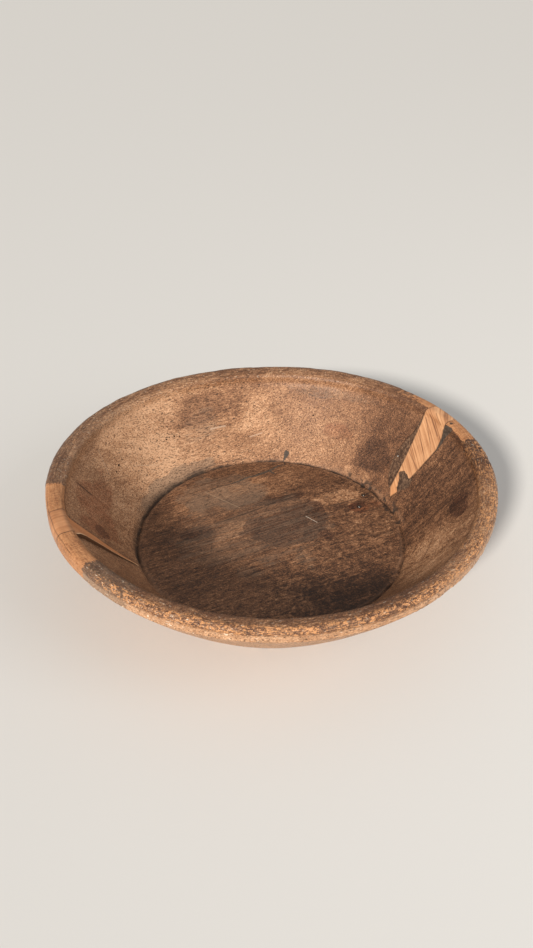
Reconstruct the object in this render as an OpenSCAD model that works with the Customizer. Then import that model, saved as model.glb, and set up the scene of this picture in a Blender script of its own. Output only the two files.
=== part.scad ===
// Wide carved wooden bowl, mended with two wedges of new wood, fillers and fixing pins.
// Millimetres. The origin is the middle of the foot and +Z is up.

/* [Bowl] */
// Diameter over the rim
bowl_d = 480; // [400:1:600]
// Height from the foot to the top of the rim
bowl_h = 108; // [90:1:140]
// Diameter of the flat floor inside
floor_d = 301; // [240:1:365]
// Thickness of the wood under the floor
base_t = 15; // [10:0.5:20]
// How far the foot's edge lies outside the floor's edge
foot_lip = 9.5; // [6:0.5:16]
// Radius of the foot's worn edge
foot_round = 3; // [1:0.5:5]
// How far the inside wall bows outwards from a straight line
inner_bow = 1.5; // [0:0.1:4]
// How far the outside wall bows outwards from a straight line
outer_bow = 2; // [0:0.1:8]

/* [Rim] */
// Width of the rim, which is the wall's thickness at the mouth
rim_w = 20; // [15:0.5:26]
// Radius of the rim's two rounded edges
rim_round = 7; // [3:0.5:7.5]
// Depth of the rim's inner face, from the top of the rim to the mouth
rim_inner_h = 12; // [9:0.5:16]
// Depth of the rim's upright outer face, from the top of the rim
rim_outer_h = 15; // [9:0.5:20]

/* [Repair wedges] */
// Bearing of the right wedge's middle line
right_bearing = 31; // [15:0.5:45]
// Bearing of the left wedge's middle line
left_bearing = 206; // [190:0.5:225]
// Glue line around each wedge
glue_line = 0.1; // [0.05:0.05:0.3]

/* [Fillers] */
// Depth of the filler beside the right wedge and over its chipped tip
seam_filler_depth = 4; // [2:0.5:6]
// Depth of the filler at the rim end of the right wedge
rim_filler_depth = 6; // [3:0.5:8]
// Depth of the filler in the floor's crack and in the wall's crack
crack_filler_depth = 5; // [2:0.5:7]
// Diameter of the round plug in the rim
plug_d = 4; // [3:0.5:6]
// Depth of the round plug in the rim
plug_depth = 8; // [5:0.5:12]

/* [Pins] */
// Diameter of each fixing pin
pin_d = 2; // [1.5:0.1:3]
// Length of each fixing pin
pin_l = 8; // [6.5:0.5:9.5]

/* [Hidden] */
$fn = 120;

bowl_r = bowl_d / 2;
floor_r = floor_d / 2;
foot_r = floor_r + foot_lip;
mouth_r = bowl_r - rim_w;
mouth_z = bowl_h - rim_inner_h;
// Lean of the inside wall from level, and its length in section
wall_lean = atan2(mouth_z - base_t, mouth_r - floor_r);
wall_l = norm([mouth_r - floor_r, mouth_z - base_t]);
// How far cutting shapes reach past the wood
over = 10;
// From the mouth to past the rim's outer edge, measured along the wall's line
rim_reach = rim_w * cos(wall_lean) + rim_inner_h * sin(wall_lean) + over;

new_wood = [0.78, 0.52, 0.32];
old_wood = [0.42, 0.27, 0.17];
filler_grey = [0.26, 0.23, 0.2];
pin_metal = [0.72, 0.7, 0.66];

// ---- Sections ----

// Outline points that follow an arc, in steps from one angle to another
function arc(centre, r, from, to, steps) =
    [for (i = [0:steps]) let (a = from + (to - from) * i / steps) centre + r * [cos(a), sin(a)]];

// Outline points from a to b along a shallow bow that stands h to the right of the straight line
function bow(a, b, h, steps) =
    let (line = b - a, right = [line[1], -line[0]] / norm(line))
    [for (i = [0:steps]) let (u = i / steps) a + line * u + right * 4 * h * u * (1 - u)];

// The inside surface, from the floor's edge up to the middle of the rim's top
inner_line = concat(
    bow([floor_r, base_t], [mouth_r, mouth_z], inner_bow, 8),
    arc([mouth_r + rim_round, bowl_h - rim_round], rim_round, 180, 90, 6),
    [[bowl_r - rim_w / 2, bowl_h]]
);

// The outside surface, from the foot up to the rim's top
outer_line = concat(
    arc([foot_r - foot_round, foot_round], foot_round, -90, -40, 3),
    bow([foot_r, foot_round], [bowl_r, bowl_h - rim_outer_h], outer_bow, 8),
    arc([bowl_r - rim_round, bowl_h - rim_round], rim_round, 0, 90, 6)
);

function reversed(line) = [for (i = [len(line) - 1:-1:0]) line[i]];

// ---- Places on the wall and the floor ----

// A place along the wall: 0 is the floor's edge, 1 the mouth, and 2 past the rim's outer edge
function along_wall(place) = place <= 1 ? place * wall_l : wall_l + (place - 1) * rim_reach;

// Outline points from places along the wall and distances across it, moved across by shift
function wall_points(line, shift = 0) = [for (p = line) [along_wall(p[0]), p[1] + shift]];

// Stands children on the wall at a bearing: X runs up the wall, Y across it, Z into the hollow
module on_wall(bearing) {
    rotate([0, 0, bearing])
        translate([floor_r, 0, base_t])
            rotate([0, -wall_lean, 0])
                children();
}

// Bearing of a place at radius r that lies across from the right wedge's middle line
function beside_right_wedge(r, across) = right_bearing + asin(across / r);

// Plan position on the floor, from a share of its radius and a bearing
function floor_point(share, bearing) = floor_r * share * [cos(bearing), sin(bearing)];

// Outline of a crack that has its own half width at each of its points
function crack_outline(line) =
    let (
        last = len(line) - 1,
        p = [for (q = line) floor_point(q[0], q[1])],
        way = [for (i = [0:last]) p[min(i + 1, last)] - p[max(i - 1, 0)]],
        side = [for (i = [0:last]) line[i][2] * [-way[i][1], way[i][0]] / norm(way[i])]
    )
    concat([for (i = [0:last]) p[i] + side[i]], [for (i = [last:-1:0]) p[i] - side[i]]);

// ---- Outlines of the repairs: [place along the wall, distance across it] ----

// The two sides of each wedge, one running in from the rim to the tip and one running back out
right_upper = [[2, 15], [1, 19.2], [0.165, -3.2], [0.09, -11.9]];
right_lower = [
    [0.09, -12.7], [0.173, -16.4], [0.352, -18.4], [0.787, -25.6], [0.92, -22.5], [1, -18], [2, -19.5],
];
left_lower = [[2, 21], [1.3, 19.5], [1.05, 15], [0.85, 6], [0.55, -0.5], [0.04, -8]];
left_upper = [[0.04, -10], [0.3, -12.8], [0.6, -17], [1, -19], [2, -18]];

// The filler beside the right wedge; its last two points lie in the wedge's pocket
seam_edge = [
    [0.163, 0.7], [0.253, 11.1], [0.344, 16.8], [0.422, 20.1], [0.506, 22], [0.576, 21.8],
    [0.662, 21.1], [0.779, 19.3], [0.897, 19.6], [1, 20.6], [1, 15], [0.15, -7],
];

// The filler over the right wedge's chipped tip and the wood below it
tip_edge = [
    [0.18, -16], [0.211, -11.2], [0.277, -8.2], [0.358, 1.5], [0.394, -2.7], [0.4, -7.8],
    [0.36, -18], [0.382, -18.7], [0.396, -23.5], [0.31, -25.3], [0.26, -22.9], [0.207, -18.4],
];

// The filler at the right wedge's rim end; its last two points lie in the wedge's pocket
rim_edge = [
    [0.77, -27.2], [0.88, -27.5], [0.93, -26.8], [0.98, -27.2],
    [1.13, -32.6], [1.25, -31.9], [1.21, -21.2], [1.08, -14], [0.77, -20],
];

// The blind crack in the wall and its bearing
wall_crack_bearing = 84;
wall_crack = [
    [0.02, 2.4], [0.045, 1], [0.12, 1.7], [0.148, -0.4], [0.127, -4.9], [0.085, -4.4], [0.02, 0.4],
];

// The crack in the floor and its short branch: [share of the floor's radius, bearing, half width]
floor_crack = [
    [0.75, 122.5, 0.3], [0.75, 115.5, 1], [0.76, 110, 1.3], [0.79, 105, 1.8], [0.8, 99.5, 1.8],
    [0.825, 96, 2], [0.865, 91, 2], [0.915, 88, 1.4], [0.945, 86, 1.1], [0.955, 83.5, 0.4],
];
floor_branch = [[0.86, 91.4, 1.4], [0.835, 89.8, 1.4], [0.82, 88, 0.5]];

// The pins in the floor: [share of the floor's radius, bearing]
floor_pins = [[0.795, 30], [0.915, 37]];

// The pin in the filler beside the right wedge: [place along the wall, distance across it]
wall_pin_place = [0.487, 16.7];

// The plug in the rim: [share of the rim's width, distance across from the right wedge's middle]
plug_place = [0.3, -23.6];

// ---- Shapes that pieces and their pockets share ----

// The turned block with its hollow, before any repair
module whole_bowl() {
    rotate_extrude()
        polygon(concat([[0, 0]], outer_line, reversed(inner_line), [[0, base_t]]));
}

// The hollow, sunk square to the wall by depth
module hollow(depth) {
    sunk = [for (p = inner_line) p + depth * [sin(wall_lean), -cos(wall_lean)]];
    top = bowl_h + over;
    rotate_extrude()
        polygon(concat([[0, sunk[0][1]]], sunk, [[sunk[len(sunk) - 1][0], top], [0, top]]));
}

// A wall outline cut square through the wall
module through_wall(bearing, outline) {
    on_wall(bearing)
        translate([0, 0, -2 * rim_w])
            linear_extrude(3 * rim_w)
                polygon(outline);
}

// The wood under a wall outline, down to depth
module wall_inlay(bearing, outline, depth) {
    intersection() {
        whole_bowl();
        through_wall(bearing, outline);
        hollow(depth);
    }
}

// A wedge grown by grow on both of its glued sides; one_side is the side with the larger Y
module wedge(bearing, one_side, other_side, grow) {
    through_wall(bearing, concat(wall_points(one_side, grow), wall_points(other_side, -grow)));
}

module right_wedge_cut(grow) {
    wedge(right_bearing, right_upper, right_lower, grow);
}

module left_wedge_cut(grow) {
    wedge(left_bearing, left_lower, left_upper, grow);
}

module seam_inlay() {
    wall_inlay(right_bearing, wall_points(seam_edge), seam_filler_depth);
}

module tip_inlay() {
    wall_inlay(right_bearing, wall_points(tip_edge), seam_filler_depth);
}

module rim_inlay() {
    wall_inlay(right_bearing, wall_points(rim_edge), rim_filler_depth);
}

module wall_crack_inlay() {
    wall_inlay(wall_crack_bearing, wall_points(wall_crack), crack_filler_depth);
}

module floor_crack_inlay() {
    translate([0, 0, base_t - crack_filler_depth])
        linear_extrude(crack_filler_depth)
            union() {
                polygon(crack_outline(floor_crack));
                polygon(crack_outline(floor_branch));
            }
}

module rim_plug_shape() {
    r = mouth_r + plug_place[0] * rim_w;
    rotate([0, 0, beside_right_wedge(r, plug_place[1])])
        translate([r, 0, bowl_h - plug_depth])
            cylinder(d = plug_d, h = plug_depth);
}

module wall_pin_shape() {
    u = wall_pin_place[0];
    r = floor_r + u * (mouth_r - floor_r) + 4 * inner_bow * u * (1 - u) * sin(wall_lean);
    on_wall(beside_right_wedge(r, wall_pin_place[1]))
        translate([u * wall_l, 0, -4 * inner_bow * u * (1 - u) - pin_l])
            cylinder(d = pin_d, h = pin_l);
}

module floor_pin_shapes() {
    for (pin = floor_pins)
        translate(concat(floor_point(pin[0], pin[1]), [base_t - pin_l]))
            cylinder(d = pin_d, h = pin_l);
}

// ---- Sub-parts ----

module bowl_body() {
    color(old_wood)
        difference() {
            whole_bowl();
            right_wedge_cut(glue_line);
            left_wedge_cut(glue_line);
            seam_inlay();
            tip_inlay();
            rim_inlay();
            wall_crack_inlay();
            floor_crack_inlay();
            rim_plug_shape();
            wall_pin_shape();
            floor_pin_shapes();
        }
}

module right_wedge() {
    color(new_wood)
        difference() {
            intersection() {
                whole_bowl();
                right_wedge_cut(0);
            }
            tip_inlay();
        }
}

module left_wedge() {
    color(new_wood)
        intersection() {
            whole_bowl();
            left_wedge_cut(0);
        }
}

module seam_filler() {
    color(filler_grey)
        difference() {
            seam_inlay();
            right_wedge_cut(glue_line);
            wall_pin_shape();
        }
}

module tip_filler() {
    color(filler_grey) tip_inlay();
}

module rim_filler() {
    color(filler_grey)
        difference() {
            rim_inlay();
            right_wedge_cut(glue_line);
            rim_plug_shape();
        }
}

module rim_plug() {
    color(filler_grey) rim_plug_shape();
}

module floor_crack_filler() {
    color(filler_grey) floor_crack_inlay();
}

module wall_crack_filler() {
    color(filler_grey) wall_crack_inlay();
}

module fixing_pins() {
    color(pin_metal) {
        wall_pin_shape();
        floor_pin_shapes();
    }
}

bowl_body();
right_wedge();
left_wedge();
seam_filler();
tip_filler();
rim_filler();
rim_plug();
floor_crack_filler();
wall_crack_filler();
fixing_pins();
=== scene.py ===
# Looks of the wide carved wooden bowl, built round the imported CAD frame.
# Lengths in this script are millimetres on the bowl; meshes are written in metres.
import math

import bpy
import numpy as np
from mathutils import Matrix, Vector
from mathutils.geometry import tessellate_polygon


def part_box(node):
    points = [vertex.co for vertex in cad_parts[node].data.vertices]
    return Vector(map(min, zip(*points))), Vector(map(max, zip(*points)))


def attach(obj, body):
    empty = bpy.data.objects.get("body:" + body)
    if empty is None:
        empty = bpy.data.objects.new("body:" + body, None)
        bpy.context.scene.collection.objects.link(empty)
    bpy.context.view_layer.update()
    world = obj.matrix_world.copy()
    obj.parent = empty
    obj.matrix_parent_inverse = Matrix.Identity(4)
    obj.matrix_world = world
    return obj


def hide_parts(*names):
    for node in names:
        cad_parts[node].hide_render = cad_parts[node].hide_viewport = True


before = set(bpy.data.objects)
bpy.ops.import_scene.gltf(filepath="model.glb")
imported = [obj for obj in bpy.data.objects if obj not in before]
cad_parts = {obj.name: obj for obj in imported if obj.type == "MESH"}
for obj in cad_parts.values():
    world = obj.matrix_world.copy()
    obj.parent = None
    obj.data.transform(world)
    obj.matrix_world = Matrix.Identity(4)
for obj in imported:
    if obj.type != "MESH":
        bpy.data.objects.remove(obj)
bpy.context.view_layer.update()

MM = 0.001
BODY_LO, BODY_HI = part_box("bowl_body")

# ---- Sizes of the bowl ----
BOWL_R = (BODY_HI[0] - BODY_LO[0]) / 2 / MM
BOWL_H = BODY_HI[2] / MM
FLOOR_R = 150.5
BASE_T = 15.0
FOOT_R = 160.0
FOOT_ROUND = 3.0
RIM_W = 20.0
RIM_ROUND = 7.0
RIM_INNER_H = 12.0
RIM_OUTER_H = 15.0
INNER_BOW = 1.5
OUTER_BOW = 2.0
MOUTH_COVE = 13.0
COVE_RISE = 0.37         # of its radius, from the mouth to the cove's centre
MOUTH = np.array([BOWL_R - RIM_W, BOWL_H - RIM_INNER_H])
WALL_FOOT = np.array([FLOOR_R, BASE_T])
WALL_LEAN = math.atan2(MOUTH[1] - BASE_T, MOUTH[0] - FLOOR_R)
WALL_L = float(np.linalg.norm(MOUTH - WALL_FOOT))
RIM_REACH = RIM_W * math.cos(WALL_LEAN) + RIM_INNER_H * math.sin(WALL_LEAN) + 10
GRAIN_BEARING = 29.0

# ---- Repairs ----
RIGHT_BEARING = 31.0
LEFT_BEARING = 206.0
SEAM_GAP = 0.22
SEAM_DEPTH = 4.0
RIM_FILLER_DEPTH = 6.0
CRACK_DEPTH = 5.0


# ======== Numbers: noise and soft windows ========

def lattice(ix, iy, iz, seed):
    """A repeatable number in -1..1 for each whole-number place."""
    h = (ix * 73856093) ^ (iy * 19349663) ^ (iz * 83492791) ^ (seed * 40503)
    h = h & 0xFFFFFFFF
    h = ((h ^ (h >> 13)) * 1540483477) & 0xFFFFFFFF
    h = ((h ^ (h >> 15)) * 2246822519) & 0xFFFFFFFF
    h = h ^ (h >> 16)
    return (h & 0xFFFFFF) / float(0x7FFFFF) - 1.0


def noise(p, size, seed):
    """Smooth noise in -1..1 at places p, with bumps about as large as size."""
    q = p / np.asarray(size, float)
    base = np.floor(q)
    f = q - base
    f = f * f * f * (f * (f * 6 - 15) + 10)
    ix, iy, iz = base.astype(np.int64).T
    total = np.zeros(len(p))
    for dx in (0, 1):
        wx = f[:, 0] if dx else 1 - f[:, 0]
        for dy in (0, 1):
            wy = f[:, 1] if dy else 1 - f[:, 1]
            for dz in (0, 1):
                wz = f[:, 2] if dz else 1 - f[:, 2]
                total += wx * wy * wz * lattice(ix + dx, iy + dy, iz + dz, seed)
    return total


def layered(p, size, seed, layers=3):
    """Noise with finer layers on top, about -1..1."""
    total, share, size = 0, 1.0, np.asarray(size, float)
    for k in range(layers):
        total = total + share * noise(p, size, seed + 17 * k)
        share, size = share * 0.5, size * 0.5
    return total / 1.5


def step(x, low, high):
    """Rises smoothly from 0 at low to 1 at high."""
    t = np.clip((x - low) / (high - low), 0, 1)
    return t * t * (3 - 2 * t)


def window(x, low, high, soft):
    """1 between low and high, fading to 0 over soft on each side."""
    return step(x, low - soft, low) * (1 - step(x, high, high + soft))


def turn(phi, bearing):
    """Signed degrees from a bearing, in -180..180."""
    return (phi - bearing + 180) % 360 - 180


def along_across(x, y, bearing):
    """Plan coordinates along a bearing and across it."""
    c, s = math.cos(math.radians(bearing)), math.sin(math.radians(bearing))
    return x * c + y * s, -x * s + y * c


def bell(x, middle, width):
    """1 at the middle, falling to 0 on both sides."""
    return np.exp(-((x - middle) / width) ** 2)


def strongest(*masks):
    """The largest of several masks at each point."""
    return np.maximum.reduce([np.asarray(m, float) for m in np.broadcast_arrays(*masks)])


# ======== The bowl's section ========

def bow_line(a, b, h, gap):
    n = max(2, int(round(np.linalg.norm(b - a) / gap)))
    u = np.linspace(0, 1, n + 1)[:, None]
    d = (b - a) / np.linalg.norm(b - a)
    return a + (b - a) * u + np.array([d[1], -d[0]]) * 4 * h * u * (1 - u)


def round_outline(x, y, radius, sides=20):
    a = np.arange(sides) * 2 * math.pi / sides
    return np.stack([x + radius * np.cos(a), y + radius * np.sin(a)], 1)


def arc_line(centre, radius, start, end, gap):
    n = max(3, int(round(radius * math.radians(abs(end - start)) / gap)))
    a = np.radians(np.linspace(start, end, n + 1))[:, None]
    return np.asarray(centre) + radius * np.hstack([np.cos(a), np.sin(a)])


def section_line(wall_gap, rim_gap, outer_gap, floor_gap):
    """The closed section from the floor's middle, over the rim, to the foot's middle."""
    inner_arc = np.array([MOUTH[0] + RIM_ROUND, BOWL_H - RIM_ROUND])
    outer_arc = np.array([BOWL_R - RIM_ROUND, BOWL_H - RIM_ROUND])
    cove = MOUTH + [-MOUTH_COVE, MOUTH_COVE * COVE_RISE]
    to_top = np.array([0, RIM_ROUND])
    upright = np.array([BOWL_R, BOWL_H - RIM_OUTER_H])
    foot_arc = arc_line([FOOT_R - FOOT_ROUND, FOOT_ROUND], FOOT_ROUND, -5, -90, 1.0)
    floor = bow_line(np.array([0, BASE_T]), WALL_FOOT, 0, floor_gap)
    wall = bow_line(WALL_FOOT, MOUTH, INNER_BOW, wall_gap)[1:]
    wall = wall[np.linalg.norm(wall - MOUTH, axis=1) > MOUTH_COVE * COVE_RISE + 0.5]
    cove_turn = math.degrees(WALL_LEAN) - 90 + 4
    parts = [
        floor,
        wall,
        arc_line(cove, MOUTH_COVE, cove_turn, 0, rim_gap),
        arc_line(inner_arc, RIM_ROUND, 180, 90, rim_gap),
        bow_line(inner_arc + to_top, outer_arc + to_top, 0, rim_gap)[1:-1],
        arc_line(outer_arc, RIM_ROUND, 90, 0, rim_gap),
        bow_line(np.array([BOWL_R, outer_arc[1]]), upright, 0, rim_gap)[1:],
        bow_line(upright, foot_arc[0], -OUTER_BOW, outer_gap)[1:-1],
        foot_arc,
        bow_line(foot_arc[-1], np.array([0.0, 0.0]), 0, 4.0)[1:],
    ]
    return np.vstack(parts)


FINE_LINE = section_line(1.0, 0.6, 1.5, 1.0)
LINE_AT = np.concatenate([[0], np.cumsum(np.linalg.norm(np.diff(FINE_LINE, axis=0), axis=1))])


def place_on_line(point):
    return float(LINE_AT[np.argmin(np.linalg.norm(FINE_LINE - np.asarray(point), axis=1))])


S_FLOOR = place_on_line(WALL_FOOT)
S_MOUTH = place_on_line(MOUTH)
S_TOP = place_on_line([BOWL_R - RIM_W / 2, BOWL_H])
S_RIM_END = place_on_line([BOWL_R, BOWL_H - RIM_OUTER_H])
S_FOOT = place_on_line([FOOT_R, FOOT_ROUND])


class Places:
    """Where mesh points lie on the bowl: bearing, place along the section, depth under the skin."""

    def __init__(self, p):
        self.p = p
        self.r = np.hypot(p[:, 0], p[:, 1])
        self.z = p[:, 2]
        self.phi = np.degrees(np.arctan2(p[:, 1], p[:, 0])) % 360
        rz = np.stack([self.r, self.z], 1)
        start, along = FINE_LINE[:-1], np.diff(FINE_LINE, axis=0)
        length = np.linalg.norm(along, axis=1)
        best = np.full(len(p), 1e9)
        which = np.zeros(len(p), int)
        cell = 4096
        for i in range(0, len(p), cell):
            d = np.linalg.norm(rz[i:i + cell, None] - FINE_LINE[None], axis=2)
            which[i:i + cell] = np.argmin(d, axis=1)
        self.s = np.zeros(len(p))
        for shift in (-1, 0):
            k = np.clip(which + shift, 0, len(along) - 1)
            t = np.clip(((rz - start[k]) * along[k]).sum(1) / length[k] ** 2, 0, 1)
            gap = np.linalg.norm(rz - start[k] - along[k] * t[:, None], axis=1)
            closer = gap < best
            best = np.where(closer, gap, best)
            self.s = np.where(closer, LINE_AT[k] + t * length[k], self.s)
        self.depth = best
        ahead = np.stack([np.interp(self.s + 1.2, LINE_AT, FINE_LINE[:, i]) for i in (0, 1)], 1)
        behind = np.stack([np.interp(self.s - 1.2, LINE_AT, FINE_LINE[:, i]) for i in (0, 1)], 1)
        d = ahead - behind
        d /= np.maximum(np.linalg.norm(d, axis=1), 1e-9)[:, None]
        a = np.radians(self.phi)
        self.out = np.stack([-d[:, 1] * np.cos(a), -d[:, 1] * np.sin(a), d[:, 0]], 1)
        self.grain = np.stack([*along_across(p[:, 0], p[:, 1], GRAIN_BEARING), p[:, 2]], 1)
        self.floor = 1 - step(self.s, S_FLOOR - 1, S_FLOOR + 1)
        self.wall = window(self.s, S_FLOOR, S_MOUTH, 3)
        self.rim = window(self.s, S_MOUTH + 4, S_RIM_END, 4)
        self.outer = step(self.s, S_RIM_END, S_RIM_END + 4)
        self.fresh_rim = np.maximum(self.arc(191.5, 222, 3.5), self.arc(17.5, 47, 3.5))
        self.rough_rim = self.arc(236, 372, 14)

    def arc(self, low, high, soft):
        """1 on the arc that runs counter-clockwise from bearing low to high."""
        half = ((high - low) % 360) / 2
        return 1 - step(np.abs(turn(self.phi, low + half)), half, half + soft)

    def across(self, bearing):
        """Millimetres across the wall, counter-clockwise from a bearing's middle line."""
        return self.r * np.sin(np.radians(turn(self.phi, bearing)))

    def up(self):
        """Millimetres up the wall from the floor's edge."""
        return self.s - S_FLOOR


# ======== Relief: how far the carved skin stands off the turned one ========

# Radius on the wall, bearing, the hole's own radius
WORM_HOLES = [
    (190.9, 159.4, 1.3), (188.8, 162.4, 0.9), (192.6, 156.4, 0.7), (190.2, 146.6, 0.9),
    (189.5, 137.9, 0.8), (187.1, 134.1, 0.9), (187.6, 132.6, 0.7), (186.9, 130.4, 1.0),
    (185.3, 128.4, 0.7), (192.4, 74.8, 0.8), (188.4, 133.4, 0.6), (194.0, 126.8, 0.6),
]
SANDED_OFF = 0.5         # taken off the rim beside the wedges


def floor_edge_slip(w):
    """How far the crevice round the floor strays, in millimetres."""
    return 1.6 * noise(w.p, 34, 23) + 1.0 * layered(w.p, 9, 25, 2)


def swell(w):
    """The slow rise and fall that the whole skin shares, in millimetres."""
    return 0.55 * noise(w.p, 70, 3) + 0.22 * noise(w.p, 24, 5)


def skin_relief(w):
    """Displacement of the old wood's skin, outwards, in millimetres."""
    d = swell(w)
    d += 0.10 * layered(w.grain, (30, 3.2, 3.2), 11, 2) * (1 - w.rim)
    # Where the wall meets the floor: a worn crevice beside a fine ridge
    ragged = 0.5 + 0.5 * noise(w.p, 9, 21)
    slip = floor_edge_slip(w)
    crevice = bell(w.s - S_FLOOR - slip, 0, 1.4)
    ridge = bell(w.s - S_FLOOR + 3.4 - slip, 0, 1.7)
    d += -1.3 * crevice * (0.25 + ragged) + 0.5 * ridge * (0.4 + ragged)
    # Torn grain where the right wedge's tip meets the floor
    torn = bell(w.s, S_FLOOR, 12) * w.arc(12, 50, 10)
    d -= 1.4 * torn * np.maximum(0, layered(w.p, 5, 31, 2))
    # The back of the rim is worn into one slope with the wall
    back = w.arc(60, 182, 22)
    d += back * 2.0 * bell(w.s, S_MOUTH + 3, 6)
    d -= back * 1.9 * bell(w.s, S_MOUTH + 13, 5)
    # Rim: worn round, chipped at the front and right, sanded flat beside the wedges
    worn = w.rim * (1 - w.fresh_rim)
    d += worn * (0.30 * noise(w.p, 11, 41) + 0.12 * noise(w.p, 4.5, 43))
    rough = worn * w.rough_rim
    chip = np.maximum(0, layered(w.p, 5, 51, 3) - 0.05)
    d -= rough * (1.2 * chip * (0.35 + 0.65 * step(w.s, S_TOP - 2, S_TOP + 9)))
    d += rough * 0.25 * layered(w.p, 2.4, 57, 2)
    d -= SANDED_OFF * w.rim * w.fresh_rim
    # A low dressed band under the front rim's outer edge
    d -= 0.35 * bell(w.s, S_RIM_END + 2, 2) * (1 - w.fresh_rim)
    # Fine turned lines on the outside
    lines = np.sin(w.s * 1.9 + 2 * noise(w.p, 60, 61))
    d += w.outer * (1 - step(w.s, S_FOOT - 4, S_FOOT)) * 0.05 * lines
    # The foot stands flat
    return d * (1 - 0.9 * step(w.s, S_FOOT - 1, S_FOOT + 3))


def right_wedge_relief(w):
    """The right wedge is planed flat across, a touch proud at its tip."""
    across = w.across(RIGHT_BEARING)
    flat = 0.35 * (1 - (across / 22) ** 2) * w.wall
    tip = 0.5 * (1 - step(w.up(), 10, 30)) * w.wall
    saw = 0.05 * np.sin(across * 2.1 + 0.6 * noise(w.p, 14, 71)) * w.wall
    return swell(w) + flat + tip + saw - SANDED_OFF * w.rim * w.fresh_rim


def left_wedge_relief(w):
    """The left wedge is a flat slip that stands proud along its lower side."""
    across = w.across(LEFT_BEARING)
    lift = 4.0 * step(across, -14, 10) * window(w.up(), 14, WALL_L - 6, 12)
    fine = 0.04 * layered(w.p, 3, 83, 2)
    return swell(w) + lift + fine - SANDED_OFF * w.rim * w.fresh_rim


def filler_relief(w):
    """Filler is pressed in slightly low and uneven."""
    return swell(w) - 0.25 + 0.18 * layered(w.p, 4, 91, 3)


def out_of_round(p):
    """The old block has moved: oval in plan, and its rim rises and falls."""
    r = np.hypot(p[:, 0], p[:, 1])
    a = np.arctan2(p[:, 1], p[:, 0])
    grow = 1 + 0.013 * np.cos(2 * (a - math.radians(60))) * r / 240
    share = np.clip((p[:, 2] - BASE_T) / 84, 0, 1.2)
    lift = 3.4 * share * np.cos(2 * (a - math.radians(12)))
    return np.stack([p[:, 0] * grow, p[:, 1] * grow, p[:, 2] + lift], 1)


# ======== Meshes ========

def mesh_from(name, points, faces):
    """A mesh from points in millimetres and arrays of 3- or 4-sided faces."""
    mesh = bpy.data.meshes.new(name)
    corners = np.concatenate([f.reshape(-1) for f in faces]).astype(np.int32)
    sides = np.concatenate([np.full(len(f), f.shape[1]) for f in faces]).astype(np.int32)
    starts = np.concatenate([[0], np.cumsum(sides)[:-1]]).astype(np.int32)
    mesh.vertices.add(len(points))
    mesh.vertices.foreach_set("co", (np.asarray(points) * MM).astype(np.float32).reshape(-1))
    mesh.loops.add(len(corners))
    mesh.loops.foreach_set("vertex_index", corners)
    mesh.polygons.add(len(sides))
    mesh.polygons.foreach_set("loop_start", starts)
    mesh.update(calc_edges=True)
    mesh.validate()
    return mesh


def object_from(name, data):
    thing = bpy.data.objects.new(name, data)
    bpy.context.scene.collection.objects.link(thing)
    return thing


def points_of(mesh):
    co = np.zeros(len(mesh.vertices) * 3, np.float32)
    mesh.vertices.foreach_get("co", co)
    return co.reshape(-1, 3).astype(float) / MM


def ring_count(r, full):
    """Fewer points on smaller rings, halving each time."""
    n = full
    while n > 12 and r < BOWL_R * n / full * 0.5:
        n //= 2
    return n


def lathe(name, line, full):
    """A closed turned solid from a section line whose two ends lie on the axis."""
    counts = [ring_count(r, full) for r, _ in line[1:-1]]
    points, starts, at = [[[0, 0, line[0][1]]]], [], 1
    for (r, z), n in zip(line[1:-1], counts):
        points.append(np.hstack([round_outline(0, 0, r, n), np.full((n, 1), z)]))
        starts.append(at)
        at += n
    points.append([[0, 0, line[-1][1]]])
    quads, tris = [], []
    j = np.arange(counts[0])
    tris.append(np.stack([np.zeros_like(j), starts[0] + j, starts[0] + (j + 1) % counts[0]], 1))
    for a, b, n, m in zip(starts, starts[1:], counts, counts[1:]):
        if n == m:
            j = np.arange(n)
            k = (j + 1) % n
            quads.append(np.stack([a + j, b + j, b + k, a + k], 1))
            continue
        small, big, k, grows = (a, b, n, m > n) if m > n else (b, a, m, m > n)
        assert abs(m - n) == k, "rings may only halve or double"
        j = np.arange(k)
        nxt, two = (j + 1) % k, 2 * j
        fans = [
            (small + j, big + two, big + two + 1),
            (small + j, big + two + 1, small + nxt),
            (small + nxt, big + two + 1, big + (two + 2) % (2 * k)),
        ]
        for f in fans:
            tris.append(np.stack(f if grows else f[::-1], 1))
    j = np.arange(counts[-1])
    tris.append(np.stack([np.full_like(j, at), starts[-1] + (j + 1) % counts[-1], starts[-1] + j], 1))
    faces = [np.vstack(tris)] + ([np.vstack(quads)] if quads else [])
    return mesh_from(name, np.vstack(points), faces)


def wall_axes(bearing):
    """Origin and axes on the wall: up the wall, across it, and into the hollow."""
    c, s = math.cos(math.radians(bearing)), math.sin(math.radians(bearing))
    lean_c, lean_s = math.cos(WALL_LEAN), math.sin(WALL_LEAN)
    up = np.array([lean_c * c, lean_c * s, lean_s])
    across = np.array([-s, c, 0.0])
    inward = np.array([-lean_s * c, -lean_s * s, lean_c])
    return np.array([FLOOR_R * c, FLOOR_R * s, BASE_T]), up, across, inward


FLAT_AXES = (np.zeros(3), *np.eye(3))


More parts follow.
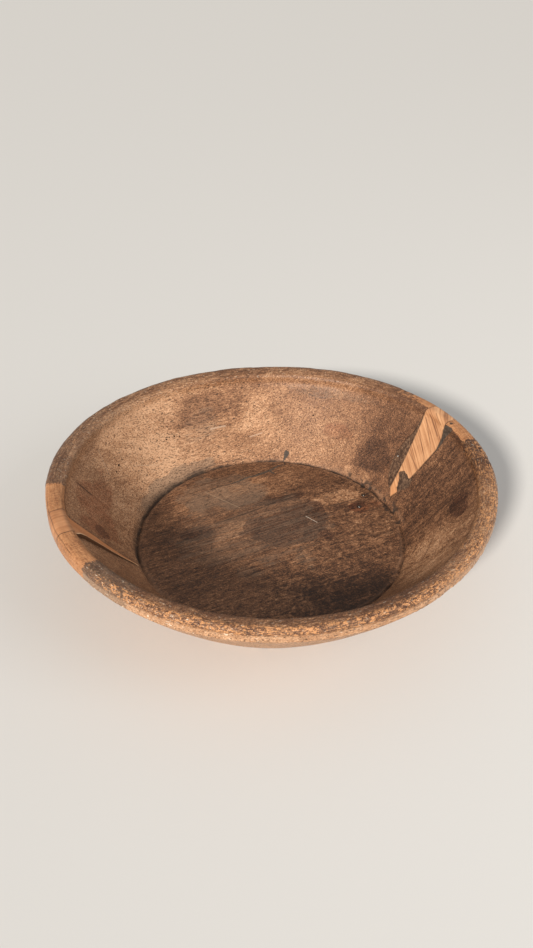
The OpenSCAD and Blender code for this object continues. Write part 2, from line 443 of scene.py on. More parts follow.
def prism(name, outline, low, high, axes):
    """A closed prism over an outline, from low to high along the third axis."""
    outline = np.asarray(outline, float)
    nxt = np.roll(outline, -1, 0)
    if (outline[:, 0] * nxt[:, 1] - nxt[:, 0] * outline[:, 1]).sum() < 0:
        outline = outline[::-1]
    o, x, y, z = axes
    flat = o + outline[:, :1] * x + outline[:, 1:] * y
    points = np.vstack([flat + low * z, flat + high * z])
    n = len(outline)
    caps = np.array(tessellate_polygon([[Vector((a, b, 0)) for a, b in outline]]))
    tri = outline[caps]
    turned = np.cross(tri[:, 1] - tri[:, 0], tri[:, 2] - tri[:, 0]) < 0
    caps[turned] = caps[turned][:, ::-1]
    j = np.arange(n)
    k = (j + 1) % n
    sides = np.stack([j, k, n + k, n + j], 1)
    return mesh_from(name, points, [np.vstack([caps[:, ::-1], caps + n]), sides])


def offset(outline, gap):
    """An outline moved outwards by gap; it may run either way round."""
    outline = np.asarray(outline, float)
    before, after = np.roll(outline, 1, 0), np.roll(outline, -1, 0)
    area = (outline[:, 0] * after[:, 1] - after[:, 0] * outline[:, 1]).sum()
    sign = 1 if area > 0 else -1

    def normal(a, b):
        d = b - a
        return sign * np.stack([d[:, 1], -d[:, 0]], 1) / np.linalg.norm(d, axis=1)[:, None]

    n1, n2 = normal(before, outline), normal(outline, after)
    n = n1 + n2
    n /= np.maximum(np.linalg.norm(n, axis=1), 0.2)[:, None]
    stretch = 1 / np.clip((n * n1).sum(1), 0.5, 1)
    return outline + n * (gap * stretch)[:, None]


def ragged(outline, amount, seed, gap=1.2):
    """An outline with points every gap, shaken a little so its edge looks hand-worked."""
    outline = np.asarray(outline, float)
    pieces = []
    for a, b in zip(outline, np.roll(outline, -1, 0)):
        n = max(1, int(round(np.linalg.norm(b - a) / gap)))
        pieces.append(a + (b - a) * np.linspace(0, 1, n, endpoint=False)[:, None])
    line = np.vstack(pieces)
    for _ in range(3):
        line = line * 0.5 + (np.roll(line, 1, 0) + np.roll(line, -1, 0)) * 0.25
    at = np.hstack([line, np.zeros((len(line), 1))])
    shake = np.stack([layered(at, 4.0, seed, 2), layered(at, 4.0, seed + 5, 2)], 1)
    return line + amount * shake


def boolean(thing, cutters, how):
    """Applies booleans one after another and removes the cutters."""
    for cutter in cutters:
        tool = object_from("cutter", cutter)
        change = thing.modifiers.new("cut", "BOOLEAN")
        change.solver = "MANIFOLD"
        change.operation = how
        change.object = tool
        depsgraph = bpy.context.evaluated_depsgraph_get()
        result = bpy.data.meshes.new_from_object(thing.evaluated_get(depsgraph))
        thing.modifiers.clear()
        old = thing.data
        thing.data = result
        bpy.data.meshes.remove(old)
        bpy.data.objects.remove(tool)
        bpy.data.meshes.remove(cutter)


def give(mesh, name, values):
    """Stores one number for each mesh point, for the materials to read."""
    layer = mesh.attributes.new(name, "FLOAT", "POINT")
    layer.data.foreach_set("value", np.asarray(values, np.float32))


def finish_mesh(thing, relief, masks):
    """Carves the relief, bends the piece out of round and stores its masks."""
    mesh = thing.data
    w = Places(points_of(mesh))
    skin = 1 - step(w.depth, 0.3, 1.2)
    moved = w.p + w.out * (relief(w) * skin)[:, None]
    moved = out_of_round(moved)
    mesh.vertices.foreach_set("co", (moved * MM).astype(np.float32).reshape(-1))
    for name, values in masks(w).items():
        give(mesh, name, np.broadcast_to(values, (len(w.p),)))
    mesh.shade_smooth()
    mesh.set_sharp_from_angle(angle=math.radians(50))
    mesh.update()


# ======== Outlines of the repairs on the wall ========

def along_wall(place):
    return place * WALL_L if place <= 1 else WALL_L + (place - 1) * RIM_REACH


def on_wall(line):
    return np.array([[along_wall(a), b] for a, b in line])


# Share of the way up the wall (past 1: on over the rim), millimetres across it
RIGHT_WEDGE = on_wall([
    (2, 15), (1, 19.2), (0.165, -3.2), (0.09, -11.9), (0.09, -12.7), (0.173, -16.4),
    (0.352, -18.4), (0.787, -25.6), (0.92, -22.5), (1, -18), (2, -19.5),
])
LEFT_WEDGE = on_wall([
    (2, 21), (1.3, 19.5), (1.05, 15), (0.85, 6), (0.55, -0.5), (0.04, -8), (0.04, -10),
    (0.3, -12.8), (0.6, -17), (1, -19), (2, -18),
])
SEAM_FILLER = on_wall([
    (0.163, 0.7), (0.253, 11.1), (0.344, 16.8), (0.422, 20.1), (0.506, 22), (0.576, 21.8),
    (0.662, 21.1), (0.779, 19.3), (0.897, 19.6), (1, 20.6), (1, 15), (0.15, -7),
])
TIP_FILLER = on_wall([
    (0.18, -16), (0.211, -11.2), (0.277, -8.2), (0.358, 1.5), (0.394, -2.7), (0.4, -7.8),
    (0.36, -18), (0.382, -18.7), (0.396, -23.5), (0.31, -25.3), (0.26, -22.9), (0.207, -18.4),
])
RIM_FILLER = on_wall([
    (0.77, -27.2), (0.88, -27.5), (0.93, -26.8), (0.98, -27.2), (1.13, -32.6),
    (1.25, -31.9), (1.21, -21.2), (1.08, -14), (0.77, -20),
])
WALL_CRACK_BEARING = 84.0
WALL_CRACK = on_wall([
    (0.02, 2.4), (0.045, 1), (0.12, 1.7), (0.148, -0.4), (0.127, -4.9), (0.085, -4.4), (0.02, 0.4),
])
# Share of the floor's radius, bearing, half width
FLOOR_CRACK = [
    (0.75, 122.5, 0.3), (0.75, 115.5, 1.0), (0.76, 110, 1.3), (0.79, 105, 1.8), (0.8, 99.5, 1.8),
    (0.825, 96, 2.0), (0.865, 91, 2.0), (0.915, 88, 1.4), (0.945, 86, 1.1), (0.955, 83.5, 0.4),
]
FLOOR_BRANCH = [(0.86, 91.4, 1.4), (0.835, 89.8, 1.4), (0.82, 88, 0.5)]
FLOOR_PINS = [(0.795, 30.0), (0.915, 37.0)]      # share of the floor's radius, bearing
WALL_PIN = (0.487, 16.7)                         # share up the wall, millimetres across
PLUG = (226.0, 25.0)                             # radius, bearing
PLUG_R = 2.0
PLUG_DEPTH = 8.0
PIN_R = 1.0
PIN_L = 8.0
PIN_SINK_R = 2.3
PIN_SINK_DEPTH = 1.3
WORM_DEPTH = 4.0
PIN_GAP = 0.1            # round the pins and the plug
POCKET_GAP = 0.08        # round the fillers
POCKET_FLOOR = 0.2       # under every inlay
# How far cutters reach past the skin, and through the whole wall
CLEAR = 9.0
WALL_CLEAR = 14.0
THROUGH_LOW, THROUGH_HIGH = -40.0, 24.0


def floor_point(share, bearing):
    a = math.radians(bearing)
    return FLOOR_R * share * np.array([math.cos(a), math.sin(a)])


def crack_outline(line):
    p = np.array([floor_point(share, bearing) for share, bearing, _ in line])
    way = np.gradient(p, axis=0)
    side = np.stack([-way[:, 1], way[:, 0]], 1) / np.linalg.norm(way, axis=1)[:, None]
    half = np.array([w for _, _, w in line])[:, None]
    return np.vstack([p + side * half, (p - side * half)[::-1]])


def skin_axes(share, bearing):
    """Wall axes with their origin on the skin, a share of the way up the wall."""
    o, x, y, z = wall_axes(bearing)
    return o + x * share * WALL_L - z * 4 * INNER_BOW * share * (1 - share), x, y, z


def wall_pin_axes():
    share, across = WALL_PIN
    r = FLOOR_R + share * (MOUTH[0] - FLOOR_R)
    return skin_axes(share, RIGHT_BEARING + math.degrees(math.asin(across / r)))


def worm_hole_axes(r, bearing):
    return skin_axes((r - FLOOR_R) / (MOUTH[0] - FLOOR_R), bearing)


# ---- Cutters: closed prisms over the outlines ----

def wall_prism(bearing, outline, depth, grow=0.0):
    return prism("prism", offset(outline, grow), -depth, WALL_CLEAR, wall_axes(bearing))


def through_prism(bearing, outline, grow=0.0):
    return prism("prism", offset(outline, grow), THROUGH_LOW, THROUGH_HIGH, wall_axes(bearing))


def floor_prism(outline, grow=0.0):
    low = BASE_T - CRACK_DEPTH - grow
    return prism("prism", offset(outline, grow), low, BASE_T + CLEAR, FLAT_AXES)


def plug_prism(radius, depth):
    a = math.radians(PLUG[1])
    outline = round_outline(PLUG[0] * math.cos(a), PLUG[0] * math.sin(a), radius)
    return prism("prism", outline, BOWL_H - depth, BOWL_H + CLEAR, FLAT_AXES)


def floor_hole(place, radius, depth, clear=CLEAR):
    outline = round_outline(*floor_point(*place), radius)
    return prism("prism", outline, BASE_T - depth, BASE_T + clear, FLAT_AXES)


def skin_hole(axes, radius, depth):
    """A round hole square to the skin."""
    return prism("prism", round_outline(0, 0, radius, 12), -depth, 4.0, axes)


def wall_pin_hole():
    return skin_hole(wall_pin_axes(), PIN_R + PIN_GAP, PIN_L + POCKET_FLOOR)


SEAM_EDGE = ragged(SEAM_FILLER, 0.35, 101)
TIP_EDGE = ragged(TIP_FILLER, 1.1, 103, 0.9)
RIM_EDGE = ragged(RIM_FILLER, 0.3, 105)
WALL_CRACK_EDGE = ragged(WALL_CRACK, 0.2, 107, 0.8)
FLOOR_CRACK_EDGE = crack_outline(FLOOR_CRACK)
FLOOR_BRANCH_EDGE = crack_outline(FLOOR_BRANCH)


# ======== Pieces ========

def block():
    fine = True
    line = section_line(1.3, 0.8, 1.8, 1.5) if fine else section_line(2.2, 1.4, 3.0, 3.0)
    return lathe("block", line, 1152 if fine else 640)


BLOCK = block()


def cut_from_block(name, cutters, how):
    thing = object_from(name, BLOCK.copy())
    boolean(thing, cutters, how)
    return thing


def carved_body():
    cutters = [
        through_prism(RIGHT_BEARING, RIGHT_WEDGE, SEAM_GAP),
        through_prism(LEFT_BEARING, LEFT_WEDGE, SEAM_GAP),
        wall_prism(RIGHT_BEARING, SEAM_EDGE, SEAM_DEPTH + POCKET_FLOOR, POCKET_GAP),
        wall_prism(RIGHT_BEARING, TIP_EDGE, SEAM_DEPTH + POCKET_FLOOR, POCKET_GAP),
        wall_prism(RIGHT_BEARING, RIM_EDGE, RIM_FILLER_DEPTH + POCKET_FLOOR, POCKET_GAP),
        wall_prism(WALL_CRACK_BEARING, WALL_CRACK_EDGE, CRACK_DEPTH + POCKET_FLOOR, POCKET_GAP),
        floor_prism(FLOOR_CRACK_EDGE, POCKET_GAP),
        floor_prism(FLOOR_BRANCH_EDGE, POCKET_GAP),
        plug_prism(PLUG_R + PIN_GAP, PLUG_DEPTH),
        wall_pin_hole(),
    ]
    for pin in FLOOR_PINS:
        cutters.append(floor_hole(pin, PIN_R + PIN_GAP, PIN_L + POCKET_FLOOR))
        cutters.append(floor_hole(pin, PIN_SINK_R, PIN_SINK_DEPTH, CLEAR - 0.5))
    for r, bearing, radius in WORM_HOLES:
        cutters.append(skin_hole(worm_hole_axes(r, bearing), radius, WORM_DEPTH))
    body = cut_from_block("bowl_body_carved", cutters, "DIFFERENCE")
    finish_mesh(body, skin_relief, old_wood_masks)
    return body


def right_wedge():
    whole = through_prism(RIGHT_BEARING, RIGHT_WEDGE)
    wedge = cut_from_block("right_wedge_carved", [whole], "INTERSECT")
    tip = wall_prism(RIGHT_BEARING, TIP_EDGE, SEAM_DEPTH + POCKET_FLOOR, POCKET_GAP)
    boolean(wedge, [tip], "DIFFERENCE")
    finish_mesh(wedge, right_wedge_relief, right_wedge_masks)
    return wedge


def left_wedge():
    whole = through_prism(LEFT_BEARING, LEFT_WEDGE)
    wedge = cut_from_block("left_wedge_carved", [whole], "INTERSECT")
    finish_mesh(wedge, left_wedge_relief, left_wedge_masks)
    return wedge


def filler(name, warm, inside, outside=(), branch=None):
    """An inlay between the block's skin and its cutters; warm is how brown it is."""
    mass = cut_from_block(name, [inside], "INTERSECT")
    if branch is not None:
        arm = cut_from_block("branch", [branch], "INTERSECT")
        arm_mesh = arm.data
        bpy.data.objects.remove(arm)
        boolean(mass, [arm_mesh], "UNION")
    boolean(mass, outside, "DIFFERENCE")
    finish_mesh(mass, filler_relief, lambda w: {"warm": warm})
    return mass


def seam_filler():
    pocket = through_prism(RIGHT_BEARING, RIGHT_WEDGE, SEAM_GAP)
    inside = wall_prism(RIGHT_BEARING, SEAM_EDGE, SEAM_DEPTH)
    return filler("seam_filler_mass", 1.0, inside, [pocket, wall_pin_hole()])


def tip_filler():
    return filler("tip_filler_mass", 0.8, wall_prism(RIGHT_BEARING, TIP_EDGE, SEAM_DEPTH))


def rim_filler():
    pocket = through_prism(RIGHT_BEARING, RIGHT_WEDGE, SEAM_GAP)
    inside = wall_prism(RIGHT_BEARING, RIM_EDGE, RIM_FILLER_DEPTH)
    plug_hole = plug_prism(PLUG_R + PIN_GAP, PLUG_DEPTH)
    return filler("rim_filler_mass", 0.15, inside, [pocket, plug_hole])


def rim_plug():
    return filler("rim_plug_mass", 0.7, plug_prism(PLUG_R, PLUG_DEPTH - POCKET_FLOOR))


def wall_crack_filler():
    inside = wall_prism(WALL_CRACK_BEARING, WALL_CRACK_EDGE, CRACK_DEPTH)
    return filler("wall_crack_filler_mass", 0.1, inside)


def floor_crack_filler():
    main, branch = floor_prism(FLOOR_CRACK_EDGE), floor_prism(FLOOR_BRANCH_EDGE)
    return filler("floor_crack_filler_mass", 0.2, main, branch=branch)


def pin_heads():
    """Three round pins with domed heads, as one piece."""
    places = [(np.array([*floor_point(*pin), BASE_T - 0.7]), *FLAT_AXES[1:]) for pin in FLOOR_PINS]
    o, x, y, z = wall_pin_axes()
    places.append((o - 0.2 * z, x, y, z))
    foot = -PIN_L + 0.8
    dome = arc_line([0, -0.9], 1.25, 80, 40, 0.2)
    line = np.vstack([[0, 0.35], dome, [PIN_R, -0.3], [PIN_R, foot], [0, foot]])
    sides = 24
    rounds = round_outline(0, 0, 1, sides)
    j = np.arange(sides)
    k = (j + 1) % sides
    points, faces, at = [], [], 0
    for o, x, y, z in places:
        rings = [o + r * rounds[:, :1] * x + r * rounds[:, 1:] * y + h * z for r, h in line[1:-1]]
        points.append(np.vstack([o + line[0][1] * z, *rings, o + foot * z]))
        last = at + 1 + (len(rings) - 1) * sides
        faces.append(np.stack([np.full(sides, at), at + 1 + j, at + 1 + k], 1))
        faces.append(np.stack([np.full(sides, last + sides), last + k, last + j], 1))
        for b in range(at + 1, last, sides):
            faces.append(np.stack([b + j, b + sides + j, b + sides + k], 1))
            faces.append(np.stack([b + j, b + sides + k, b + k], 1))
        at = last + sides + 1
    mesh = mesh_from("fixing_pin_heads", out_of_round(np.vstack(points)), [np.vstack(faces)])
    mesh.shade_smooth()
    mesh.set_sharp_from_angle(angle=math.radians(40))
    return object_from("fixing_pin_heads", mesh)


# ======== Masks: where each colour and finish lies ========

AROUND_MM = 3.3          # millimetres of wall for each degree round the bowl

# Soft patches on the floor: amount, x, y, half lengths along and across, bearing, seed, raggedness
FLOOR_PATCHES = {
    "tone": [
        (0.28, 82, 78, 32, 12, 20, 213), (0.12, -85, 70, 46, 34, 25, 215),
        (0.18, -46, 0, 26, 14, 40, 217, 0.8), (0.12, -20, 95, 60, 20, 20, 219),
        (0.03, 40, -25, 30, 18, 10, 221), (0.03, 70, 0, 40, 60, 70, 211, 0.7),
        (0.05, 118, 30, 24, 30, 70, 212), (-0.08, -100, -14, 36, 24, 15, 225),
        # The row at x 88, y -88 darkens the floor's front right: darker wood and a painted shadow
        (-0.20, 88, -88, 74, 36, 25, 222),
    ],
    "stain": [
        (0.75, 28, 30, 62, 36, 22, 223, 0.6), (0.8, -84, 2, 22, 14, 40, 226, 0.5),
        (0.8, 8, 70, 44, 6, 24, 227, 0.7), (0.5, 104, 66, 26, 5, 40, 228, 0.8),
    ],
    "red": [(0.9, 103, 57, 10, 12, 90, 265, 0.3), (0.5, 112, 62, 24, 10, 20, 266, 0.6)],
    "grey": [(0.6, -60, 85, 60, 34, 25, 275, 0.5), (0.5, -20, 10, 100, 80, 20, 274, 0.4)],
}
# The same on the wall: amount, bearing, height up the wall, half width, half height, seed, raggedness
WALL_PATCHES = {
    "tone": [
        (0.08, 136, 45, 18, 28, 231), (0.14, 96, 62, 26, 22, 233), (-0.20, 114, 80, 50, 20, 234),
        (-0.10, 72, 88, 40, 12, 236), (-0.20, 45, 36, 26, 24, 235), (-0.06, 52, 76, 14, 18, 237),
        (0.20, 49, 9, 22, 7, 238, 0.6), (0.18, 345, 44, 22, 40, 241), (0.16, 330, 44, 26, 30, 243),
    ],
    "stain": [(0.75, 355, 80, 18, 16, 263, 0.4), (0.45, 195, 46, 10, 14, 264, 0.7)],
    "red": [
        (0.55, 65, 50, 26, 13, 261, 0.35), (0.45, 355, 80, 20, 17, 263, 0.4),
        (0.6, 186, 62, 60, 34, 269, 0.5),
    ],
    "grey": [
        # The second row is a grey band along the foot of the back-left wall: painted shadow
        (0.45, 118, 60, 34, 20, 271, 0.6), (0.9, 146, 9, 76, 10, 273, 0.6),
        (0.5, 70, 96, 60, 8, 276, 0.6),
    ],
}
# Arcs of the rim: amount, from bearing, to bearing, softness
RIM_ARCS = {
    "tone": [
        (0.11, 236, 285, 12), (0.27, 318, 354, 10), (0.10, 352, 366, 8), (0.08, 120, 190, 10),
        (-0.18, 358, 376, 8),
    ],
    "grey": [(0.9, 224, 236, 4), (0.5, 150, 190, 12)],
}
# Lightness of the wall by bearing
WALL_TONES = [
    (0, 0.32), (12, 0.29), (22, 0.35), (36, 0.36), (48, 0.38), (58, 0.55), (72, 0.67), (100, 0.64),
    (125, 0.76), (140, 0.94), (152, 0.90), (162, 0.80), (172, 0.75), (190, 0.70), (205, 0.64),
    (230, 0.48), (270, 0.43), (300, 0.47), (325, 0.63), (340, 0.61), (350, 0.51), (360, 0.32),
]
FLOOR_TONE, RIM_TONE, OUTER_TONE = 0.37, 0.46, 0.88
# The left wedge's lower edge: height up the wall, millimetres across, on the body and on the wedge
SLIP_UP = [4, 59, 91, 112]
SLIP_BODY = [-9, -1.5, 5, 14]
SLIP_WEDGE = [-8, -0.5, 6, 15]


def floor_patch(w, x, y, half_along, half_across, bearing, seed, ragged_by=0.5):
    along, across = along_across(w.p[:, 0] - x, w.p[:, 1] - y, bearing)
    edge = np.hypot(along / half_along, across / half_across) + ragged_by * layered(w.p, 22, seed)
    return (1 - step(edge, 0.7, 1.15)) * w.floor


def wall_patch(w, bearing, up, half_across, half_up, seed, ragged_by=0.5):
    edge = np.hypot(w.across(bearing) / half_across, (w.up() - up) / half_up)
    edge += ragged_by * layered(w.p, 20, seed)
    facing = np.cos(np.radians(turn(w.phi, bearing))) > 0
    return (1 - step(edge, 0.65, 1.2)) * facing * step(w.s, S_FLOOR - 6, S_FLOOR) * (1 - w.outer)


def total(w, place, rows):
    """Places of one kind added up, each row starting with its amount."""
    return sum(amount * place(w, *row) for amount, *row in rows)


def rim_scribe(w):
    """A thin dark line near the outer edge of the sanded rim on the left."""
    wander = 0.8 * noise(w.p, 16, 287)
    return bell(w.s - S_TOP - 8.5 - wander, 0, 0.55) * w.arc(196, 217, 4) * 0.8


def edge_gap(w, bearing, outline):
    """Millimetres from a wall outline, for points near it; far away elsewhere."""
    o, x, y, _ = wall_axes(bearing)
    near = np.abs(turn(w.phi, bearing)) < 25
    at = np.stack([(w.p[near] - o) @ x, (w.p[near] - o) @ y], 1)
    gap = np.full(len(at), 1e3)
    for a, b in zip(outline, np.roll(outline, -1, 0)):
        t = np.clip(((at - a) @ (b - a)) / ((b - a) @ (b - a)), 0, 1)
        gap = np.minimum(gap, np.linalg.norm(at - a - t[:, None] * (b - a), axis=1))
    full = np.full(len(w.p), 1e3)
    full[near] = gap
    return full


def seam_line(w, bearing, outline):
    """Dirt in a glued seam."""
    return 0.9 * bell(edge_gap(w, bearing, outline), 0, 0.75) * (0.75 + 0.25 * noise(w.p, 11, 291))


def old_wood_dirt_and_painted_shade(w):
    """Darkening of the old wood: dirt in the crevice round the floor, in seams and torn grain, dark
    rings round the pins, darker holes and faces under the skin, and painted shade: a painted shadow
    along the foot of the back wall, a painted shadow under the left wedge's proud side and a darker band
    above that wedge.
    """
    slip = floor_edge_slip(w)
    crevice = bell(w.s - S_FLOOR - slip, 0, 1.5) * np.clip(0.55 + 0.75 * layered(w.p, 8, 277, 2), 0, 1)
    crevice *= 1 - 0.65 * w.arc(204, 250, 12)
    # Painted shadow: a soft dark band along the foot of the wall, strongest at the back left
    painted_seat_shadow = bell(w.s, S_FLOOR + 3, 7) * w.arc(128, 196, 18) * 0.62
    painted_seat_shadow += bell(w.s, S_FLOOR + 1, 4) * w.arc(60, 200, 20) * 0.35
    floor_edge = np.clip(crevice + painted_seat_shadow * (0.7 + 0.3 * layered(w.p, 26, 279)), 0, 1) * (1 - w.outer)
    torn = bell(w.s, S_FLOOR, 11) * w.arc(14, 50, 9) * step(layered(w.p, 5, 31, 2), 0.05, 0.35)
    sinks, holes = [], []
    for pin in FLOOR_PINS:
        gap = np.linalg.norm(w.p[:, :2] - floor_point(*pin), axis=1)
        sinks.append(0.9 * (1 - step(gap, PIN_SINK_R, 4.2)) * w.floor)
    for r, bearing, radius in WORM_HOLES:
        gap = np.linalg.norm(w.p - worm_hole_axes(r, bearing)[0], axis=1)
        holes.append(0.8 * (1 - step(gap, radius * 0.9, radius + 1.0)))
    # Painted shadow on the body under the left wedge's proud lower side, and a darker band on the body
    # above the wedge
    left_gap = edge_gap(w, LEFT_BEARING, LEFT_WEDGE)
    below = (w.across(LEFT_BEARING) > np.interp(w.up(), SLIP_UP, SLIP_BODY)) * w.wall
    return strongest(
        floor_edge, torn, 0.9 * step(w.depth, 0.3, 1.0), *sinks, *holes,
        seam_line(w, RIGHT_BEARING, RIGHT_WEDGE), seam_line(w, LEFT_BEARING, LEFT_WEDGE), rim_scribe(w),
        0.45 * below * (1 - step(left_gap, 1.5, 9)),
        0.40 * (1 - below) * w.wall * (1 - step(left_gap, 1.0, 13)))


def old_wood_masks(w):
    floor = {name: total(w, floor_patch, rows) for name, rows in FLOOR_PATCHES.items()}
    wall = {name: total(w, wall_patch, rows) for name, rows in WALL_PATCHES.items()}
    rim = {name: total(w, Places.arc, rows) for name, rows in RIM_ARCS.items()}
    # Lightness of floor, wall, rim and outside
    cloud = layered(w.grain, (70, 34, 34), 201)
    floor_tone = FLOOR_TONE + 0.07 * cloud + floor["tone"]
    wall_tone = np.interp(w.phi, *zip(*WALL_TONES)) + 0.10 * cloud + wall["tone"]
    inner_tone = floor_tone * w.floor + wall_tone * (1 - w.floor)
    back = w.arc(62, 178, 22)
    rim_tone = RIM_TONE + 0.10 * layered(w.p, 14, 251, 2) + 0.16 * back + rim["tone"]
    rim_tone -= 0.10 * w.rough_rim * (1 - step(w.s, S_TOP - 4, S_TOP + 4))
    rim_tone -= 0.22 * back * step(w.s, S_TOP + 3, S_TOP + 8)
    # The worn back of the rim runs into the wall without an edge
    top = w.rim * (1 - back * (1 - step(w.s, S_MOUTH, S_MOUTH + 17)))
    smooth_side = step(w.s, S_TOP + 12, S_TOP + 15.5)
    rim_skin = top * (1 - smooth_side)
    outside = np.maximum(w.outer, smooth_side)
    tone = inner_tone * (1 - top) * (1 - outside) + rim_tone * rim_skin
    tone += (OUTER_TONE + 0.05 * cloud) * outside
    # A fine worn ridge beside the floor's crevice
    off = w.s - S_FLOOR - floor_edge_slip(w)
    ridge = bell(off, -3.0, 1.4) * (0.45 + 0.35 * noise(w.p, 18, 281))
    ridge += bell(off, 4.5, 2.2) * w.arc(14, 62, 8) * (0.5 + 0.5 * noise(w.p, 8, 283))
    ridge += bell(off, -0.5, 1.3) * w.arc(208, 246, 10) * 0.9
    # Sanded wood beside the wedges: on the far side only the rim's outer half
    inner_half = w.arc(31, 52, 1) * (1 - step(w.s, S_TOP - 7, S_TOP - 4))
    inner_edge = S_MOUTH + 3 + 5 * w.arc(10, 27, 3)
    fresh = w.rim * w.fresh_rim * step(w.s, inner_edge, inner_edge + 3) * (1 - inner_half)
    fresh *= 1 - 0.75 * w.arc(48, 60, 11)
    fleck = rim_skin * (1 - w.fresh_rim) * w.rough_rim * (0.06 + 0.94 * step(w.s, S_TOP + 1, S_TOP + 5))
    fleck += 0.55 * rim_skin * w.arc(330, 376, 10) * (1 - w.fresh_rim)
    # Gloss on the rim, most on the front left: it lowers the roughness and places the painted glints
    # (painted highlights)
    gloss_and_painted_glint = 0.4 + 0.6 * w.arc(224, 262, 8) * step(w.s, S_TOP - 3, S_TOP + 1)
    # Where the grain runs down the wall, and where it curls
    run = (w.arc(325, 385, 14) + 0.6 * w.arc(182, 214, 8)) * w.wall
    edge = w.p[:, 0] - 0.35 * w.p[:, 1] + 14 * noise(w.p, 30, 285)
    curled = np.maximum(w.floor * step(edge, -5, 45), w.wall * w.arc(335, 382, 12) * 0.8)
    shares = {
        "stain": floor["stain"] + wall["stain"], "red": floor["red"] + wall["red"],
        "grey": floor["grey"] + wall["grey"] + w.rim * rim["grey"], "ridge": ridge, "fleck": fleck,
    }
    return {
        "tone": tone, "dirt_and_painted_shade": old_wood_dirt_and_painted_shade(w), "fresh": fresh,
        "gloss_and_painted_glint": w.rim * (1 - w.fresh_rim) * gloss_and_painted_glint,
        "rimmed": rim_skin, "outer": outside, "run": run, "curled": curled, "level": w.floor,
        "along": w.s, "up": w.up(), "around": turn(w.phi, 90) * AROUND_MM,
        "east": w.p[:, 0], "north": w.p[:, 1],
        **{name: np.clip(values, 0, 1) for name, values in shares.items()},
    }


def wedge_coordinates(w, bearing):
    o, x, y, _ = wall_axes(bearing)
    return {"up": (w.p - o) @ x, "across": (w.p - o) @ y}


def right_wedge_masks(w):
    dirt_and_painted_shade = np.maximum(seam_line(w, RIGHT_BEARING, RIGHT_WEDGE), 0.85 * step(w.depth, 0.3, 1.0))
    return {"tip": 1 - step(w.up(), 12, 40), "dirt_and_painted_shade": dirt_and_painted_shade, **wedge_coordinates(w, RIGHT_BEARING)}


def left_wedge_masks(w):
    lower = bell(w.across(LEFT_BEARING) - np.interp(w.up(), SLIP_UP, SLIP_WEDGE), 0, 3) * w.wall
    upper_seam = seam_line(w, LEFT_BEARING, LEFT_WEDGE) * (1 - lower)
    dirt_and_painted_shade = strongest(upper_seam, rim_scribe(w), 0.8 * step(w.depth, 0.5, 3.0))
    return {"wall": w.wall, "dirt_and_painted_shade": dirt_and_painted_shade, **wedge_coordinates(w, LEFT_BEARING)}


# ======== Materials ========

